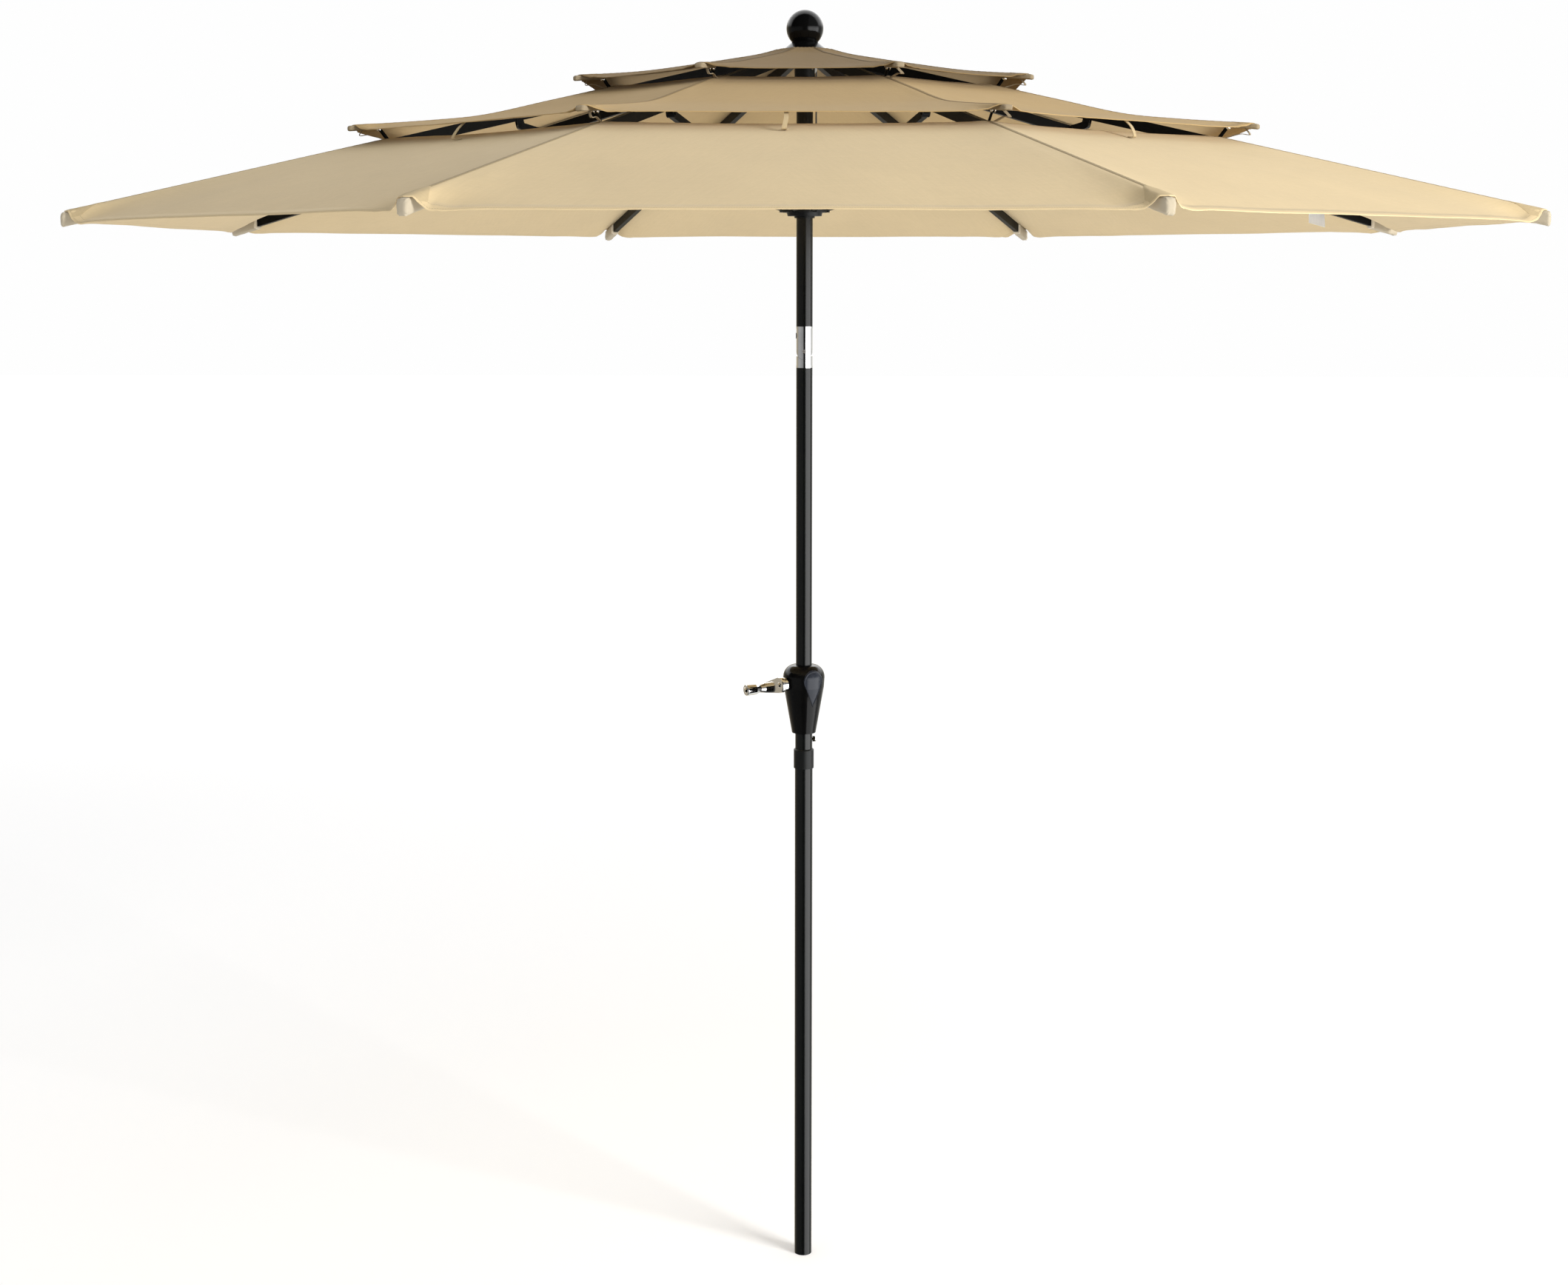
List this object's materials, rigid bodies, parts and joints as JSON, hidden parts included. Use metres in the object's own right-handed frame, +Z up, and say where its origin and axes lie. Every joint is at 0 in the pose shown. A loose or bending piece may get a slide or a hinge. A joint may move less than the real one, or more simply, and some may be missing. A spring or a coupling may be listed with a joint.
{
  "type": "crank patio umbrella",
  "caption": "Tiered octagonal patio umbrella with folding ribs and struts, sliding runner, crank housing, tilt joint and ball finial on a two-part pole.",
  "frame": {"origin": "centre of the pole's cut foot", "axes": "+Z up the pole; +Y away from the side that the inlay and the crank boss half face; +X to that side's right, opposite the tilt button"},
  "size_m": [2.6872, 2.6872, 2.687],
  "materials": {
    "frame_black": "satin powder coat",
    "gloss_black_plastic": "glossy moulded",
    "black_plastic": "fine moulded texture",
    "inlay_plastic": "glossy",
    "chrome": "polished",
    "pin_steel": "plain",
    "nylon": "natural nylon",
    "lift_cord": "braided",
    "canopy_fabric": "woven polyester"
  },
  "bodies": {
    "root": {"lower_pole": "frame_black", "foot_plug": "black_plastic", "joint_collar": "black_plastic", "joint_sleeve": "frame_black", "mid_pole": "frame_black", "crank_housing_front": "gloss_black_plastic", "crank_housing_rear": "gloss_black_plastic", "housing_screws": "chrome", "housing_inlay": "inlay_plastic", "spool_bushes": "nylon", "brake_spring": "pin_steel", "tilt_lower_bracket": "chrome", "tilt_pin": "pin_steel", "lift_cord_lower": "lift_cord"},
    "thumb_screw": {"thumb_screw": "chrome"},
    "crank": {"crank_shaft": "chrome", "cord_spool": "nylon", "crank_arm": "chrome", "arm_screw": "chrome", "knob_pin": "chrome"},
    "crank_knob": {"crank_knob": "chrome"},
    "tilt_button": {"tilt_button": "black_plastic"},
    "upper": {"tilt_upper_bracket": "chrome", "upper_pole": "frame_black", "button_spring": "pin_steel", "top_hub": "black_plastic", "hub_pins": "pin_steel", "pulley_pin": "pin_steel", "finial_base": "gloss_black_plastic", "finial_ball": "gloss_black_plastic", "lift_cord_upper": "lift_cord", "lift_cord_run": "lift_cord", "canopy_crown": "canopy_fabric"},
    "top_pulley": {"top_pulley": "nylon"},
    "runner": {"runner": "black_plastic", "runner_ring": "black_plastic"},
    "rib_1": {"rib_1": "frame_black", "canopy_gore_1": "canopy_fabric"},
    "strut_1": {"strut_1": "frame_black"},
    "rib_2": {"rib_2": "frame_black", "canopy_gore_2": "canopy_fabric"},
    "strut_2": {"strut_2": "frame_black"},
    "rib_3": {"rib_3": "frame_black", "canopy_gore_3": "canopy_fabric"},
    "strut_3": {"strut_3": "frame_black"},
    "rib_4": {"rib_4": "frame_black", "canopy_gore_4": "canopy_fabric"},
    "strut_4": {"strut_4": "frame_black"},
    "rib_5": {"rib_5": "frame_black", "canopy_gore_5": "canopy_fabric"},
    "strut_5": {"strut_5": "frame_black"},
    "rib_6": {"rib_6": "frame_black", "canopy_gore_6": "canopy_fabric"},
    "strut_6": {"strut_6": "frame_black"},
    "rib_7": {"rib_7": "frame_black", "canopy_gore_7": "canopy_fabric"},
    "strut_7": {"strut_7": "frame_black"},
    "rib_8": {"rib_8": "frame_black", "canopy_gore_8": "canopy_fabric"},
    "strut_8": {"strut_8": "frame_black"}
  },
  "joints": [
    {"name": "thumb_screw_turn", "type": "hinge", "parent": "root", "child": "thumb_screw", "pos_m": [0.02, 0, 1.175], "axis": [1, 0, 0], "range_deg": [-360, 0]},
    {"name": "crank_turn", "type": "hinge", "parent": "root", "child": "crank", "pos_m": [0, 0, 1.298], "axis": [-0.848, -0.5299, 0], "range_deg": [0, 3767]},
    {"name": "knob_turn", "type": "hinge", "parent": "crank", "child": "crank_knob", "pos_m": [-0.04515, 0.07225, 1.27597], "axis": [-0.848, -0.5299, 0], "continuous": true},
    {"name": "tilt", "type": "hinge", "parent": "root", "child": "upper", "pos_m": [0, 0, 2], "axis": [0, 1, 0], "range_deg": [-35, 0]},
    {"name": "tilt_button_press", "type": "slide", "parent": "upper", "child": "tilt_button", "axis": [1, 0, 0], "range_m": [0, 0.003], "stiffness_N_per_m": 400, "deforming": ["button_spring"]},
    {"name": "pulley_turn", "type": "hinge", "parent": "upper", "child": "top_pulley", "pos_m": [0.0159, 0, 2.569], "axis": [0, 1, 0], "range_deg": [0, 6349]},
    {"name": "runner_slide", "type": "slide", "parent": "upper", "child": "runner", "axis": [0, 0, 1], "range_m": [-0.8185, 0], "deforming": ["lift_cord_run"]},
    {"name": "rib_1_fold", "type": "hinge", "parent": "upper", "child": "rib_1", "pos_m": [0.04158, 0.01722, 2.595], "axis": [-0.3827, 0.9239, 0], "range_deg": [0, 64], "deforming": ["canopy_gore_1"]},
    {"name": "strut_1_swing", "type": "hinge", "parent": "rib_1", "child": "strut_1", "pos_m": [0.54922, 0.2275, 2.44342], "axis": [-0.3827, 0.9239, 0], "range_deg": [-128.1, 0]},
    {"name": "rib_2_fold", "type": "hinge", "parent": "upper", "child": "rib_2", "pos_m": [0.01722, 0.04158, 2.595], "axis": [-0.9239, 0.3827, 0], "range_deg": [0, 64], "deforming": ["canopy_gore_2"]},
    {"name": "strut_2_swing", "type": "hinge", "parent": "rib_2", "child": "strut_2", "pos_m": [0.2275, 0.54922, 2.44342], "axis": [-0.9239, 0.3827, 0], "range_deg": [-128.1, 0]},
    {"name": "rib_3_fold", "type": "hinge", "parent": "upper", "child": "rib_3", "pos_m": [-0.01722, 0.04158, 2.595], "axis": [-0.9239, -0.3827, 0], "range_deg": [0, 64], "deforming": ["canopy_gore_3"]},
    {"name": "strut_3_swing", "type": "hinge", "parent": "rib_3", "child": "strut_3", "pos_m": [-0.2275, 0.54922, 2.44342], "axis": [-0.9239, -0.3827, 0], "range_deg": [-128.1, 0]},
    {"name": "rib_4_fold", "type": "hinge", "parent": "upper", "child": "rib_4", "pos_m": [-0.04158, 0.01722, 2.595], "axis": [-0.3827, -0.9239, 0], "range_deg": [0, 64], "deforming": ["canopy_gore_4"]},
    {"name": "strut_4_swing", "type": "hinge", "parent": "rib_4", "child": "strut_4", "pos_m": [-0.54922, 0.2275, 2.44342], "axis": [-0.3827, -0.9239, 0], "range_deg": [-128.1, 0]},
    {"name": "rib_5_fold", "type": "hinge", "parent": "upper", "child": "rib_5", "pos_m": [-0.04158, -0.01722, 2.595], "axis": [0.3827, -0.9239, 0], "range_deg": [0, 64], "deforming": ["canopy_gore_5"]},
    {"name": "strut_5_swing", "type": "hinge", "parent": "rib_5", "child": "strut_5", "pos_m": [-0.54922, -0.2275, 2.44342], "axis": [0.3827, -0.9239, 0], "range_deg": [-128.1, 0]},
    {"name": "rib_6_fold", "type": "hinge", "parent": "upper", "child": "rib_6", "pos_m": [-0.01722, -0.04158, 2.595], "axis": [0.9239, -0.3827, 0], "range_deg": [0, 64], "deforming": ["canopy_gore_6"]},
    {"name": "strut_6_swing", "type": "hinge", "parent": "rib_6", "child": "strut_6", "pos_m": [-0.2275, -0.54922, 2.44342], "axis": [0.9239, -0.3827, 0], "range_deg": [-128.1, 0]},
    {"name": "rib_7_fold", "type": "hinge", "parent": "upper", "child": "rib_7", "pos_m": [0.01722, -0.04158, 2.595], "axis": [0.9239, 0.3827, 0], "range_deg": [0, 64], "deforming": ["canopy_gore_7"]},
    {"name": "strut_7_swing", "type": "hinge", "parent": "rib_7", "child": "strut_7", "pos_m": [0.2275, -0.54922, 2.44342], "axis": [0.9239, 0.3827, 0], "range_deg": [-128.1, 0]},
    {"name": "rib_8_fold", "type": "hinge", "parent": "upper", "child": "rib_8", "pos_m": [0.04158, -0.01722, 2.595], "axis": [0.3827, 0.9239, 0], "range_deg": [0, 64], "deforming": ["canopy_gore_8"]},
    {"name": "strut_8_swing", "type": "hinge", "parent": "rib_8", "child": "strut_8", "pos_m": [0.54922, -0.2275, 2.44342], "axis": [0.3827, 0.9239, 0], "range_deg": [-128.1, 0]}
  ],
  "couplings": [
    {"joint": "runner_slide", "follows": "rib_1_fold", "m_per_rad": -0.73184},
    {"joint": "crank_turn", "follows": "rib_1_fold", "ratio": 58.547},
    {"joint": "pulley_turn", "follows": "rib_1_fold", "ratio": 98.898},
    {"joint": "strut_1_swing", "follows": "rib_1_fold", "ratio": -2},
    {"joint": "rib_2_fold", "follows": "rib_1_fold", "ratio": 1},
    {"joint": "strut_2_swing", "follows": "rib_1_fold", "ratio": -2},
    {"joint": "rib_3_fold", "follows": "rib_1_fold", "ratio": 1},
    {"joint": "strut_3_swing", "follows": "rib_1_fold", "ratio": -2},
    {"joint": "rib_4_fold", "follows": "rib_1_fold", "ratio": 1},
    {"joint": "strut_4_swing", "follows": "rib_1_fold", "ratio": -2},
    {"joint": "rib_5_fold", "follows": "rib_1_fold", "ratio": 1},
    {"joint": "strut_5_swing", "follows": "rib_1_fold", "ratio": -2},
    {"joint": "rib_6_fold", "follows": "rib_1_fold", "ratio": 1},
    {"joint": "strut_6_swing", "follows": "rib_1_fold", "ratio": -2},
    {"joint": "rib_7_fold", "follows": "rib_1_fold", "ratio": 1},
    {"joint": "strut_7_swing", "follows": "rib_1_fold", "ratio": -2},
    {"joint": "rib_8_fold", "follows": "rib_1_fold", "ratio": 1},
    {"joint": "strut_8_swing", "follows": "rib_1_fold", "ratio": -2}
  ]
}
